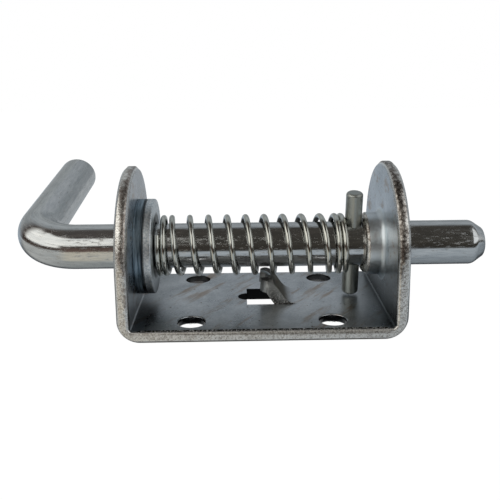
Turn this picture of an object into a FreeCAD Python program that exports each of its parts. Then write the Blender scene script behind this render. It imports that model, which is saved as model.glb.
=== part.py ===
import FreeCAD, Part
import math
import os

# Spring loaded gate latch: a bolt with a bent handle slides through the two ears of a folded bracket.
# A spring round the bolt pushes its cross pin against a collar on the right ear.
# Millimetres. X runs along the bolt towards its tip, Z is up from the mounting face, and the origin is
# the centre of the bracket's underside.

# Bracket: one piece of ten gauge sheet, folded up at both ends.
sheet = 3.42
bracket_length = 76.2
bracket_width = 46.4
fold_inner_radius = 2.6
left_crown_rise = 22.95
right_crown_rise = 23.75
edge_bevel = 0.9
axis_height = 19.65

# Screw holes in the base.
hole_spacing_x = 38.1
hole_spacing_y = 33.8
hole_diameter = 7.5
hole_bevel = 0.3

# Collar: the rim of the right ear's hole, drawn inwards.
collar_length = 5.6
collar_wall = 2.3
collar_root_radius = 1.6
collar_lip_bevel = 1.2
collar_mouth_bevel = 1.5

# Catch: a tongue cut out of the base on three sides and bent up, then bent back almost level at its end,
# where a half round seat holds the pin.
catch_width = 12.7
catch_offset_y = 1.1
catch_fold_x = 10.6
catch_fold_radius = 5.0
catch_angle = 56.0
catch_end_radius = 0.5
catch_end_angle = 5.0
catch_end_length = 1.4
catch_corner_radius = 2.4
catch_bevel = 0.5

# Bolt: a half inch rod with a handle bent at one end.
rod_diameter = 12.7
tip_reach = 26.0
tip_taper_length = 3.4
tip_taper_depth = 2.3
handle_standoff = 28.4
handle_length = 60.2
handle_bend_radius = 13.6
handle_bend_angle = 91.8
handle_end_chamfer = 0.8
handle_lift = 9.3

# Cross pin, driven through the bolt square to the handle.
pin_diameter = 4.76
pin_chamfer = 0.5

# Two flat washers between the left ear and the spring.
washer_thickness = 2.4
washer_bevel = 0.3

# Spring: open coils, with a closed coil at each end.
wire_diameter = 1.6
spring_turns = 12.25
closed_turns = 1.3
ramp_turns = 0.85
closed_pitch_gap = 0.15
turns_past_pin = 0.375
steps_per_turn = 16
wire_sides = 8

# Clearances.
rod_clearance = 0.3
washer_clearance = 0.4
washer_floor_gap = 0.13
spring_clearance = 0.85
catch_clearance = 0.45
catch_end_gap = 1.07
seat_clearance = 0.22
pin_clearance = 0.02
pin_floor_gap = 0.43
face_gap = 0.05
stop_gap = 0.1

# Places that follow from the sizes.
half_length = bracket_length / 2
half_width = bracket_width / 2
rod_radius = rod_diameter / 2
bore_radius = rod_radius + rod_clearance
collar_radius = bore_radius + collar_wall
coil_radius = rod_radius + spring_clearance + wire_diameter / 2
left_ear_height = axis_height + left_crown_rise
right_ear_height = axis_height + right_crown_rise
washer_radius = axis_height - sheet - fold_inner_radius - washer_floor_gap
pin_length = 2 * (axis_height - sheet - pin_floor_gap)
seat_radius = pin_diameter / 2 + seat_clearance
left_inner_face = sheet - half_length
right_inner_face = half_length - sheet
collar_end = right_inner_face - collar_length
pin_x = collar_end - stop_gap - pin_diameter / 2
inner_washer_x = left_inner_face + face_gap
outer_washer_x = inner_washer_x + washer_thickness + face_gap
spring_seat_x = outer_washer_x + washer_thickness + face_gap
tip_end_x = half_length + tip_reach
handle_x = -half_length - handle_standoff

# The tongue reaches up to just under the spring, and its window is as long as the tongue laid flat.
catch_bend = math.radians(catch_angle)
catch_end_slope = math.radians(catch_end_angle)
catch_back_radius = catch_end_radius + sheet
catch_top = axis_height - coil_radius - wire_diameter / 2 - catch_clearance
fold_rise = catch_fold_radius * (1 - math.cos(catch_bend))
back_rise = catch_back_radius * (math.cos(catch_end_slope) - math.cos(catch_bend))
end_rise = catch_end_length * math.sin(catch_end_slope)
catch_straight = (catch_top - sheet - fold_rise - back_rise - end_rise) / math.sin(catch_bend)
fold_flat = catch_bend * (catch_fold_radius + sheet / 2)
back_flat = (catch_bend - catch_end_slope) * (catch_end_radius + sheet / 2)
catch_flat_length = fold_flat + catch_straight + back_flat + catch_end_length
window_end_x = catch_fold_x - catch_flat_length - catch_end_gap

X_AXIS = FreeCAD.Vector(1, 0, 0)
Y_AXIS = FreeCAD.Vector(0, 1, 0)
Z_AXIS = FreeCAD.Vector(0, 0, 1)
AXIS_POINT = FreeCAD.Vector(0, 0, axis_height)


def on_axis(x):
    return FreeCAD.Vector(x, 0, axis_height)


def line(start, end):
    return Part.LineSegment(start, end).toShape()


def arc(start, middle, end):
    return Part.Arc(start, middle, end).toShape()


def round_bar(start_x, end_x, radius):
    return Part.makeCylinder(radius, end_x - start_x, on_axis(start_x), X_AXIS)


def ring_edges(shape, x, radius):
    """Circles of one radius that lie in the plane at x."""
    found = []
    for edge in shape.Edges:
        is_circle = isinstance(edge.Curve, Part.Circle)
        if is_circle and abs(edge.Curve.Radius - radius) < 1e-6 and abs(edge.Curve.Center.x - x) < 1e-6:
            found.append(edge)
    return found


def trough(length, floor_z, top_z, corner_radius):
    """A block whose two lower edges across the bolt are rounded."""
    corner = FreeCAD.Vector(-length / 2, -half_width, floor_z)
    block = Part.makeBox(length, bracket_width, top_z - floor_z, corner)
    lower_edges = []
    for edge in block.Edges:
        centre = edge.CenterOfMass
        if abs(centre.z - floor_z) < 1e-6 and abs(centre.y) < 1e-6:
            lower_edges.append(edge)
    return block.makeFillet(corner_radius, lower_edges)


def ear_outline(side_x, height):
    """A prism, from the middle out past one ear, with a full round crown."""
    spring_line = height - half_width
    left_foot = FreeCAD.Vector(0, -half_width, 0)
    left_top = FreeCAD.Vector(0, -half_width, spring_line)
    crown = FreeCAD.Vector(0, 0, height)
    right_top = FreeCAD.Vector(0, half_width, spring_line)
    right_foot = FreeCAD.Vector(0, half_width, 0)
    edges = [line(left_foot, left_top), arc(left_top, crown, right_top)]
    edges += [line(right_top, right_foot), line(right_foot, left_foot)]
    return Part.Face(Part.Wire(edges)).extrude(FreeCAD.Vector(side_x, 0, 0))


def folded_sheet():
    """The base and two ears, with the sheared edge bevelled all the way round."""
    top = max(left_ear_height, right_ear_height) + sheet
    outside = trough(bracket_length, 0, top, fold_inner_radius + sheet)
    inside = trough(bracket_length - 2 * sheet, sheet, top, fold_inner_radius)
    outline = ear_outline(half_length + sheet, right_ear_height)
    outline = outline.fuse(ear_outline(-half_length - sheet, left_ear_height)).removeSplitter()
    sheet_solid = outside.cut(inside).common(outline).removeSplitter()
    rim_edges = []
    for edge in sheet_solid.Edges:
        lies_along_y = abs(edge.tangentAt(edge.FirstParameter).dot(Y_AXIS)) > 0.99
        starts_along_y = lies_along_y and isinstance(edge.Curve, Part.Line)
        if not starts_along_y:
            rim_edges.append(edge)
    return sheet_solid.makeChamfer(edge_bevel, rim_edges)


def collar():
    """The drawn rim, as a profile turned about the bolt's axis, still without its bore."""
    outer = axis_height + collar_radius
    root = outer + collar_root_radius
    root_shift = collar_root_radius * math.sin(math.radians(45))
    back_x = right_inner_face + sheet / 2
    root_x = right_inner_face - collar_root_radius
    axis_back = FreeCAD.Vector(back_x, 0, axis_height)
    axis_front = FreeCAD.Vector(collar_end, 0, axis_height)
    lip_front = FreeCAD.Vector(collar_end, 0, outer - collar_lip_bevel)
    lip_back = FreeCAD.Vector(collar_end + collar_lip_bevel, 0, outer)
    root_start = FreeCAD.Vector(root_x, 0, outer)
    root_middle = FreeCAD.Vector(root_x + root_shift, 0, root - root_shift)
    root_end = FreeCAD.Vector(right_inner_face, 0, root)
    back_top = FreeCAD.Vector(back_x, 0, root)
    edges = [line(axis_back, axis_front), line(axis_front, lip_front), line(lip_front, lip_back)]
    edges += [line(lip_back, root_start), arc(root_start, root_middle, root_end)]
    edges += [line(root_end, back_top), line(back_top, axis_back)]
    return Part.Face(Part.Wire(edges)).revolve(AXIS_POINT, X_AXIS, 360)


def catch_window():
    """The hole that the tongue leaves in the base, with half of the pin seat's pierced hole at its end."""
    near_y = catch_offset_y - catch_width / 2
    corner = FreeCAD.Vector(window_end_x, near_y, -sheet)
    window = Part.makeBox(catch_fold_x - window_end_x, catch_width, 3 * sheet, corner)
    seat_foot = FreeCAD.Vector(window_end_x, catch_offset_y, -sheet)
    return window.fuse(Part.makeCylinder(seat_radius, 3 * sheet, seat_foot, Z_AXIS))


def sloped(angle):
    """The directions along and square to a tongue that rises towards the spring at an angle."""
    along = FreeCAD.Vector(-math.cos(angle), 0, math.sin(angle))
    across = FreeCAD.Vector(math.sin(angle), 0, math.cos(angle))
    return along, across


def catch_tongue():
    """The tongue's side view, bent up and back again about lines across the base, and its notched end."""
    near_y = catch_offset_y - catch_width / 2
    outer_radius = catch_fold_radius + sheet
    along, across = sloped(catch_bend)
    half_across = sloped(catch_bend / 2)[1]
    end_along, end_across = sloped(catch_end_slope)
    back_across = sloped((catch_bend + catch_end_slope) / 2)[1]
    fold_centre = FreeCAD.Vector(catch_fold_x, near_y, sheet + catch_fold_radius)
    upper_start = fold_centre - Z_AXIS * catch_fold_radius
    upper_fold = fold_centre - across * catch_fold_radius
    upper_back = upper_fold + along * catch_straight
    back_centre = upper_back - across * catch_back_radius
    upper_level = back_centre + end_across * catch_back_radius
    upper_end = upper_level + end_along * catch_end_length
    lower_end = upper_end - end_across * sheet
    lower_level = back_centre + end_across * catch_end_radius
    lower_back = back_centre + across * catch_end_radius
    lower_fold = fold_centre - across * outer_radius
    lower_start = fold_centre - Z_AXIS * outer_radius
    edges = [arc(upper_start, fold_centre - half_across * catch_fold_radius, upper_fold)]
    edges += [line(upper_fold, upper_back)]
    edges += [arc(upper_back, back_centre + back_across * catch_back_radius, upper_level)]
    edges += [line(upper_level, upper_end), line(upper_end, lower_end), line(lower_end, lower_level)]
    edges += [arc(lower_level, back_centre + back_across * catch_end_radius, lower_back)]
    edges += [line(lower_back, lower_fold)]
    edges += [arc(lower_fold, fold_centre - half_across * outer_radius, lower_start)]
    edges += [line(lower_start, upper_start)]
    tongue = Part.Face(Part.Wire(edges)).extrude(Y_AXIS * catch_width)
    tongue = tongue.makeFillet(catch_corner_radius, end_corner_edges(tongue, upper_end, lower_end))
    seat_foot = lower_end + Y_AXIS * (catch_width / 2) - end_across * sheet
    tongue = tongue.cut(Part.makeCylinder(seat_radius, 3 * sheet, seat_foot, end_across))
    return tongue.makeChamfer(catch_bevel, upper_rim_edges(tongue, end_along, upper_end))


def end_corner_edges(tongue, upper_end, lower_end):
    """The two edges across the sheet at the tongue's end."""
    middle = (upper_end + lower_end) * 0.5
    found = []
    for edge in tongue.Edges:
        centre = edge.CenterOfMass
        in_end_face = math.hypot(centre.x - middle.x, centre.z - middle.z) < 1e-6
        if in_end_face:
            found.append(edge)
    return found


def upper_rim_edges(tongue, end_along, upper_end):
    """The edges round the level end of the tongue's upper face, up to where it bends down."""
    found = []
    for edge in tongue.Edges:
        in_upper_face = True
        for vertex in edge.Vertexes:
            step = vertex.Point - upper_end
            if abs(step.x * end_along.z - step.z * end_along.x) > 1e-6:
                in_upper_face = False
        crosses_tongue = abs(edge.tangentAt(edge.FirstParameter).dot(Y_AXIS)) > 0.999
        if in_upper_face and not crosses_tongue:
            found.append(edge)
    return found


def bracket():
    solid = folded_sheet().fuse(collar())
    solid = solid.cut(round_bar(-bracket_length, bracket_length, bore_radius))
    solid = solid.makeChamfer(collar_mouth_bevel, ring_edges(solid, half_length, bore_radius))
    for side_x in (-1, 1):
        for side_y in (-1, 1):
            foot = FreeCAD.Vector(side_x * hole_spacing_x / 2, side_y * hole_spacing_y / 2, -sheet)
            solid = solid.cut(Part.makeCylinder(hole_diameter / 2, 3 * sheet, foot, Z_AXIS))
            mouth = FreeCAD.Vector(foot.x, foot.y, sheet - hole_bevel)
            mouth_radius = hole_diameter / 2 + hole_bevel
            solid = solid.cut(Part.makeCone(hole_diameter / 2, mouth_radius, hole_bevel, mouth))
    solid = solid.cut(catch_window())
    return solid.fuse(catch_tongue()).removeSplitter()


def pin_axis():
    lift = math.radians(handle_lift)
    return FreeCAD.Vector(0, -math.sin(lift), math.cos(lift))


def pin_bar(radius, length):
    foot = on_axis(pin_x) - pin_axis() * (length / 2)
    return Part.makeCylinder(radius, length, foot, pin_axis())


def bolt_rod():
    """The rod follows a straight run, a bend and the handle, with a taper at the tip."""
    bend = math.radians(handle_bend_angle)
    setback = handle_bend_radius * math.tan(bend / 2)
    along = FreeCAD.Vector(-math.cos(bend), math.sin(bend), 0)
    corner = on_axis(handle_x)
    bend_start = on_axis(handle_x + setback)
    bend_end = corner + along * setback
    bend_centre = bend_start + Y_AXIS * handle_bend_radius
    inward = FreeCAD.Vector(-math.sin(bend / 2), -math.cos(bend / 2), 0)
    bend_middle = bend_centre + inward * handle_bend_radius
    taper_start = on_axis(tip_end_x - tip_taper_length)
    handle_end = corner + along * (handle_length - handle_end_chamfer)
    path = Part.Wire([line(taper_start, bend_start), arc(bend_start, bend_middle, bend_end),
                      line(bend_end, handle_end)])
    section = Part.Wire(Part.Circle(taper_start, X_AXIS, rod_radius).toShape())
    rod = path.makePipeShell([section], True, True)
    tip_radius = rod_radius - tip_taper_depth
    end_radius = rod_radius - handle_end_chamfer
    tip = Part.makeCone(rod_radius, tip_radius, tip_taper_length, taper_start, X_AXIS)
    end = Part.makeCone(rod_radius, end_radius, handle_end_chamfer, handle_end, along)
    rod = rod.fuse([tip, end]).removeSplitter()
    rod.rotate(AXIS_POINT, X_AXIS, handle_lift)
    return rod.cut(pin_bar(pin_diameter / 2 + pin_clearance, pin_length))


def cross_pin():
    pin = pin_bar(pin_diameter / 2, pin_length)
    ends = [edge for edge in pin.Edges if isinstance(edge.Curve, Part.Circle)]
    return pin.makeChamfer(pin_chamfer, ends)


def washer(start_x):
    """A flat ring with the rolled edge of its punched side towards the spring."""
    end_x = start_x + washer_thickness
    ring = round_bar(start_x, end_x, washer_radius)
    ring = ring.cut(round_bar(start_x, end_x, rod_radius + washer_clearance))
    return ring.makeChamfer(washer_bevel, ring_edges(ring, end_x, washer_radius))


def spring_rise(turn, closed_pitch, open_pitch):
    """How far the wire has run along the axis after a number of turns, with a ramp between pitches."""
    ramp_end = closed_turns + ramp_turns
    slope = (open_pitch - closed_pitch) / ramp_turns
    if turn <= closed_turns:
        return closed_pitch * turn
    if turn <= ramp_end:
        return closed_pitch * turn + slope * (turn - closed_turns) ** 2 / 2
    ramp_rise = closed_pitch * ramp_end + slope * ramp_turns ** 2 / 2
    return ramp_rise + open_pitch * (turn - ramp_end)


def wire_section(centre, radial, across):
    """An outline of the wire, with flats towards and along the axis and the area of the round wire."""
    side_angle = 2 * math.pi / wire_sides
    corner_radius = wire_diameter / 2 * math.sqrt(side_angle / math.sin(side_angle))
    corners = []
    for side in range(wire_sides + 1):
        angle = side_angle * (side + 0.5)
        corners.append(centre + (radial * math.cos(angle) + across * math.sin(angle)) * corner_radius)
    return Part.makePolygon(corners)


def spring():
    """Sections of the wire along a helix whose pitch closes up at both ends, joined by straight faces."""
    closed_pitch = wire_diameter + closed_pitch_gap
    start_x = spring_seat_x + wire_diameter / 2
    pin_face_x = pin_x - pin_diameter / 2 - stop_gap
    end_x = pin_face_x - wire_diameter / 2 + turns_past_pin * closed_pitch
    open_turns = spring_turns - 2 * closed_turns - ramp_turns
    closed_rise = closed_pitch * (2 * closed_turns + ramp_turns)
    open_pitch = (end_x - start_x - closed_rise) / open_turns
    end_angle = math.radians(90 + handle_lift) + 2 * math.pi * turns_past_pin
    steps = int(round(steps_per_turn * spring_turns))
    sections = []
    for step in range(steps + 1):
        turn = spring_turns * step / steps
        rise = spring_rise(min(turn, spring_turns - turn), closed_pitch, open_pitch)
        x = start_x + rise
        if turn > spring_turns / 2:
            x = end_x - rise
        angle = end_angle - 2 * math.pi * (spring_turns - turn)
        radial = FreeCAD.Vector(0, math.cos(angle), math.sin(angle))
        sections.append(wire_section(on_axis(x) + radial * coil_radius, radial, X_AXIS))
    return Part.makeLoft(sections, True, True)


NODES = {
    "bracket": bracket(),
    "bolt_rod": bolt_rod(),
    "cross_pin": cross_pin(),
    "spring": spring(),
    "inner_washer": washer(inner_washer_x),
    "outer_washer": washer(outer_washer_x),
}

os.makedirs("parts", exist_ok=True)
for name, shape in NODES.items():
    solid = shape.Solids[0]
    solid.exportStep("parts/" + name + ".step")
    print(name, "valid", solid.isValid(), "volume", round(solid.Volume, 1), "solids", len(shape.Solids))
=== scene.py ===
# %% [markdown]
# # A spring loaded gate latch in bright zinc plate
# The latch is a bent round bolt in a folded steel bracket, with a coil spring, a cross pin and two washers.
# The solids come in first as a fixed frame. Everything below is dressed over them in the same place, in metres,
# so no piece has to be fitted by eye.

# %% Load the solids
import math

import bmesh
import bpy
import numpy as np
from mathutils import Matrix


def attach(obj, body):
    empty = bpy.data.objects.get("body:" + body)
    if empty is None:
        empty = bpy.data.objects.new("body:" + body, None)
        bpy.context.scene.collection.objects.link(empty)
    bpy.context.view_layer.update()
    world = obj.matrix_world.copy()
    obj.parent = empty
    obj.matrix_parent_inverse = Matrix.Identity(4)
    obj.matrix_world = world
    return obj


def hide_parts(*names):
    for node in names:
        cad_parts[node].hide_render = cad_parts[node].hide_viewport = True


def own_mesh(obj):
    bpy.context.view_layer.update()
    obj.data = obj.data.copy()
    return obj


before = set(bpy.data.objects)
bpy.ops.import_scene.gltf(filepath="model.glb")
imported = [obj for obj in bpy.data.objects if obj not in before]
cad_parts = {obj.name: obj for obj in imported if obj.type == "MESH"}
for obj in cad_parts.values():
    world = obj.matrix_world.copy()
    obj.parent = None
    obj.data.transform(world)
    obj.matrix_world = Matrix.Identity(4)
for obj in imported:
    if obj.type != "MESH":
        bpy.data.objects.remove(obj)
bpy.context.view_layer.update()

MM = 0.001

# %% [markdown]
# ## Closing a mesh and placing a piece
# Points that fall on each other are merged, which shuts seams and poles, and faces that meet at a small angle are
# shaded as one smooth surface. A piece is then told which body it rides on and which solid it stands for. Both
# jobs are the same for every piece, so each is one function.

# %% Close and place
MERGE_DISTANCE = 1e-7


def close_and_smooth(mesh, sharp_degrees, flat_degrees=0):
    """Merges points that coincide, joins faces flatter than one angle and shades smooth below another."""
    work = bmesh.new()
    work.from_mesh(mesh)
    bmesh.ops.remove_doubles(work, verts=work.verts, dist=MERGE_DISTANCE)
    if flat_degrees:
        bmesh.ops.dissolve_limit(work, angle_limit=math.radians(flat_degrees), verts=work.verts, edges=work.edges)
    bmesh.ops.recalc_face_normals(work, faces=work.faces)
    work.to_mesh(mesh)
    work.free()
    mesh.shade_smooth()
    mesh.set_sharp_from_angle(angle=math.radians(sharp_degrees))


def place_piece(name, mesh, body, node):
    """Links a mesh as a piece that rides on a body and stands for one solid."""
    piece = bpy.data.objects.new(name, mesh)
    bpy.context.scene.collection.objects.link(piece)
    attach(piece, body)
    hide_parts(node)
    print(name, len(mesh.polygons), "faces on", body)
    return piece


print("merging points closer than", MERGE_DISTANCE / MM, "mm")

# %% [markdown]
# ## From a grid of points to a surface
# Bars, washers, pins and springs are all a profile carried along a path, so one grid of points describes each of
# them: rows go along the piece and columns go round it. A curve with a round bevel could make some of them, but a
# grid gives exact rims and ends. Every point also remembers where it would lie if the piece were straightened out,
# which lets a finish run along a bent bar.

# %% Grids of points
def grid_mesh(name, points, straight, sharp_degrees=40):
    """Joins each point of a grid to its right and lower neighbours as one quad."""
    rows, columns = points.shape[:2]
    index = np.arange(rows * columns).reshape(rows, columns)
    quads = np.stack([index[:-1, :-1], index[1:, :-1], index[1:, 1:], index[:-1, 1:]], axis=-1)
    mesh = bpy.data.meshes.new(name)
    mesh.from_pydata(points.reshape(-1, 3).tolist(), [], quads.reshape(-1, 4).tolist())
    laid_out = mesh.attributes.new("straightened", "FLOAT_VECTOR", "POINT")
    laid_out.data.foreach_set("vector", straight.reshape(-1).astype(np.float32))
    close_and_smooth(mesh, sharp_degrees)
    return mesh


def rounded(corners, radii, steps=6):
    """A polyline whose corners become quadratic curves: each starts and ends one radius from the corner."""
    corners = np.asarray(corners, float)
    t = np.linspace(0, 1, steps + 1)[:, None]
    out = [corners[:1]]
    for before, corner, after, radius in zip(corners[:-2], corners[1:-1], corners[2:], radii):
        start = corner + (before - corner) / np.linalg.norm(before - corner) * radius
        end = corner + (after - corner) / np.linalg.norm(after - corner) * radius
        out.append((1 - t) ** 2 * start + 2 * t * (1 - t) * corner + t ** 2 * end)
    out.append(corners[-1:])
    return np.vstack(out)


def tube_grid(centre, side, other, radius, columns):
    """Rings round a path: centre + radius * (cos(angle) * side + sin(angle) * other), one ring a row."""
    angle = np.linspace(0, 2 * math.pi, columns + 1)[None, :, None]
    spoke = np.cos(angle) * side[:, None, :] + np.sin(angle) * other[:, None, :]
    return centre[:, None, :] + spoke * radius[:, None, None]


def straight_grid(along, radius, columns):
    """The same rings on a straight axis: (distance along, radius * cos(angle), radius * sin(angle))."""
    angle = np.linspace(0, 2 * math.pi, columns + 1)[None, :]
    ring = radius[:, None] * np.ones_like(angle)
    return np.stack([along[:, None] + 0 * ring, ring * np.cos(angle), ring * np.sin(angle)], axis=-1)


print("a corner is rounded in", len(rounded([(0, 0), (1, 0), (1, 1)], [0.5])) - 2, "points")

# %% [markdown]
# ## The bolt
# The real bolt is half inch bar, cut, bent cold and tapered at its tip. Its path is straight, then round the bend,
# then straight along the handle. The whole bolt is rolled so that the handle rises a little.

# %% Bolt path
AXIS_Z = 19.65 * MM
LIFT = math.radians(9.3)
HANDLE_DIRECTION = np.array([0, math.cos(LIFT), math.sin(LIFT)])
ROLL_NORMAL = np.array([0, -math.sin(LIFT), math.cos(LIFT)])
TIP_X = 64.1 * MM
CORNER_X = -66.5 * MM
BEND_RADIUS = 13.6 * MM
BEND = math.radians(91.8)
HANDLE_LENGTH = 60.2 * MM


def bolt_path(distance):
    """Centre and heading at a distance from the tip: a line, then an arc of the bend radius, then a line."""
    setback = BEND_RADIUS * math.tan(BEND / 2)
    straight = TIP_X - CORNER_X - setback
    turn = np.clip((distance - straight) / BEND_RADIUS, 0, BEND)
    before = np.minimum(distance, straight)
    after = np.maximum(distance - straight - BEND_RADIUS * BEND, 0)
    x = TIP_X - before - BEND_RADIUS * np.sin(turn) - after * math.cos(BEND)
    out = BEND_RADIUS * (1 - np.cos(turn)) + after * math.sin(BEND)
    centre = np.stack([x, 0 * x, 0 * x + AXIS_Z], axis=-1) + out[:, None] * HANDLE_DIRECTION
    heading = np.cos(turn)[:, None] * np.array([-1, 0, 0]) + np.sin(turn)[:, None] * HANDLE_DIRECTION
    return centre, heading


bolt_length = TIP_X - CORNER_X + HANDLE_LENGTH - 2 * BEND_RADIUS * math.tan(BEND / 2) + BEND_RADIUS * BEND
print("bar length", round(bolt_length / MM, 1), "mm")

# %% [markdown]
# The tip and the handle's end change the radius, so the profile (distance along, radius) is carried along the path
# as one surface, with close rows at both ends and even rows between.

# %% Bolt
ROD = 6.35 * MM
TAPER_LENGTH, TAPER_DEPTH = 3.4 * MM, 2.3 * MM
TIP_ZONE, END_ZONE = 6 * MM, 4 * MM
END_CHAMFER = 0.8 * MM
ROWS, BOLT_COLUMNS = 240, 96
tip_profile = rounded(
    [(0, 0), (0, ROD - TAPER_DEPTH), (TAPER_LENGTH, ROD), (TIP_ZONE, ROD)], [0.5 * MM, 0.9 * MM])
end_profile = rounded(
    [(bolt_length - END_ZONE, ROD), (bolt_length - END_CHAMFER, ROD), (bolt_length, ROD - END_CHAMFER),
     (bolt_length, 0)], [0.4 * MM, 0.4 * MM])
middle = np.linspace(TIP_ZONE, bolt_length - END_ZONE, ROWS)[1:-1]
bolt_profile = np.vstack([tip_profile, np.stack([middle, 0 * middle + ROD], axis=-1), end_profile])
bolt_centre, bolt_heading = bolt_path(bolt_profile[:, 0])
bolt_side = np.cross(np.broadcast_to(ROLL_NORMAL, bolt_heading.shape), bolt_heading)
bolt_other = np.broadcast_to(ROLL_NORMAL, bolt_side.shape)
bolt_mesh = grid_mesh(
    "latch_bolt", tube_grid(bolt_centre, bolt_side, bolt_other, bolt_profile[:, 1], BOLT_COLUMNS),
    straight_grid(bolt_profile[:, 0], bolt_profile[:, 1], BOLT_COLUMNS))
bolt = place_piece("latch_bolt", bolt_mesh, "bolt", "bolt_rod")

# %% [markdown]
# ## The cross pin
# A short pin goes through the bolt, square to the handle, and its ends are rounded over by tumbling. It is the same
# kind of surface on a straight path, so only its profile changes.

# %% Cross pin
PIN_X = 26.6 * MM
PIN = 2.38 * MM
PIN_HALF = 15.8 * MM
PIN_CHAMFER = 0.5 * MM
PIN_COLUMNS = 48
pin_profile = rounded(
    [(-PIN_HALF, 0), (-PIN_HALF, PIN - PIN_CHAMFER), (-PIN_HALF + PIN_CHAMFER, PIN),
     (PIN_HALF - PIN_CHAMFER, PIN), (PIN_HALF, PIN - PIN_CHAMFER), (PIN_HALF, 0)],
    [0.35 * MM, 0.3 * MM, 0.3 * MM, 0.35 * MM])
pin_centre = np.array([PIN_X, 0, AXIS_Z]) + pin_profile[:, :1] * ROLL_NORMAL
pin_side = np.tile([1.0, 0, 0], (len(pin_centre), 1))
pin_other = np.tile(HANDLE_DIRECTION, (len(pin_centre), 1))
pin_mesh = grid_mesh(
    "latch_cross_pin", tube_grid(pin_centre, pin_side, pin_other, pin_profile[:, 1], PIN_COLUMNS),
    straight_grid(pin_profile[:, 0], pin_profile[:, 1], PIN_COLUMNS))
pin = place_piece("latch_cross_pin", pin_mesh, "bolt", "cross_pin")

# %% [markdown]
# ## The washers
# A punched washer has one rolled edge and one nearly sharp one. Its profile is a closed loop that goes round the
# bolt's axis, so the grid's rows close as well as its columns.

# %% Washers
WASHER = 13.5 * MM
WASHER_BORE = 6.75 * MM
WASHER_THICK = 2.4 * MM
INNER_START, OUTER_START = -34.63 * MM, -32.18 * MM
ROLLED, SHARP, BORE_ROUND = 0.45 * MM, 0.2 * MM, 0.3 * MM
WASHER_COLUMNS = 128


def washer_mesh(name, start):
    """A loop of (x, radius) turned about the axis: a rectangle with a small and a larger rounded rim."""
    end = start + WASHER_THICK
    middle = (WASHER + WASHER_BORE) / 2
    loop = rounded(
        [(end, middle), (end, WASHER), (start, WASHER), (start, WASHER_BORE), (end, WASHER_BORE), (end, middle)],
        [ROLLED, SHARP, SHARP, BORE_ROUND])
    centre = np.stack([loop[:, 0], 0 * loop[:, 0], 0 * loop[:, 0] + AXIS_Z], axis=-1)
    side = np.tile([0, 1.0, 0], (len(loop), 1))
    other = np.tile([0, 0, 1.0], (len(loop), 1))
    return grid_mesh(name, tube_grid(centre, side, other, loop[:, 1], WASHER_COLUMNS),
                     straight_grid(loop[:, 0], loop[:, 1], WASHER_COLUMNS))


inner_washer = place_piece("latch_inner_washer", washer_mesh("latch_inner_washer", INNER_START),
                           "rolling_washer", "inner_washer")
outer_washer = place_piece("latch_outer_washer", washer_mesh("latch_outer_washer", OUTER_START),
                           "spring_seat", "outer_washer")

# %% [markdown]
# ## The spring
# A compression spring is wound from hard wire with its end coils closed up. The solid has straight steps, so here
# the wire follows a true helix: the angle grows evenly, and the rise per turn changes smoothly from the closed
# pitch at the ends to the open pitch between.

# %% Coil
WIRE = 0.8 * MM
COIL = 8.0 * MM
TURNS = 12.25
CLOSED_TURNS = 1.3
RAMP_TURNS = 0.85
SPRING_START = -29.73 * MM
PIN_FACE = 24.12 * MM
TURNS_PAST_PIN = 0.375
CLOSED_PITCH = 1.75 * MM
STEPS_A_TURN = 72


def spring_rise(turn, open_pitch):
    """Rise after some turns: closed pitch first, then a pitch that grows evenly, then the open pitch."""
    ramp = np.clip(turn - CLOSED_TURNS, 0, RAMP_TURNS)
    opened = np.maximum(turn - CLOSED_TURNS - RAMP_TURNS, 0)
    slope = (open_pitch - CLOSED_PITCH) / RAMP_TURNS
    return CLOSED_PITCH * (turn - opened) + slope * ramp ** 2 / 2 + open_pitch * opened


first_x = SPRING_START + WIRE
last_x = PIN_FACE - WIRE + TURNS_PAST_PIN * CLOSED_PITCH
open_pitch = (last_x - first_x - CLOSED_PITCH * (2 * CLOSED_TURNS + RAMP_TURNS)) / (
    TURNS - 2 * CLOSED_TURNS - RAMP_TURNS)
turn = np.linspace(0, TURNS, int(TURNS * STEPS_A_TURN) + 1)
rise = spring_rise(np.minimum(turn, TURNS - turn), open_pitch)
coil_x = np.where(turn < TURNS / 2, first_x + rise, last_x - rise)
coil_angle = math.pi / 2 + LIFT + 2 * math.pi * (TURNS_PAST_PIN - TURNS + turn)
radial = np.stack([0 * turn, np.cos(coil_angle), np.sin(coil_angle)], axis=-1)
coil_centre = np.stack([coil_x, 0 * turn, 0 * turn + AXIS_Z], axis=-1) + COIL * radial
print("open pitch", round(open_pitch / MM, 2), "mm")

# %% [markdown]
# The wire is a round tube on that helix. Its first and last rows shrink to a point in place, which shuts the cut
# ends flat. The real spring shortens as the bolt is pulled; the piece is given a mesh of its own.

# %% Spring
WIRE_COLUMNS = 20
CAP_RING = 0.8 * WIRE
wire_heading = np.gradient(coil_centre, axis=0)
wire_heading /= np.linalg.norm(wire_heading, axis=1, keepdims=True)
wire_side = np.cross(wire_heading, radial)
ends = [0, 0, *range(len(turn)), -1, -1]
wire_radius = np.concatenate([[0, CAP_RING], np.full(len(turn), WIRE), [CAP_RING, 0]])
wire_length = 2 * math.pi * COIL * turn[ends]
spring_mesh = grid_mesh(
    "latch_spring", tube_grid(coil_centre[ends], radial[ends], wire_side[ends], wire_radius, WIRE_COLUMNS),
    straight_grid(wire_length, wire_radius, WIRE_COLUMNS))
spring = place_piece("latch_spring", spring_mesh, "spring_seat", "spring")
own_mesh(spring)

# %% [markdown]
# ## The bracket
# The bracket is one folded sheet with punched holes, a drawn collar and a lanced catch. Its solid already has every
# fold and bevel, so a copy of that mesh is merged and given smooth shading: the flat faces keep their own direction
# and the narrow bevels take the turn between them. Triangles that lie in one plane are joined first, so that each
# flat weighs as one face. The press leaves a tight crease inside each fold, where the solid has a wider round, so
# those points are moved towards the corner.

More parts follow.
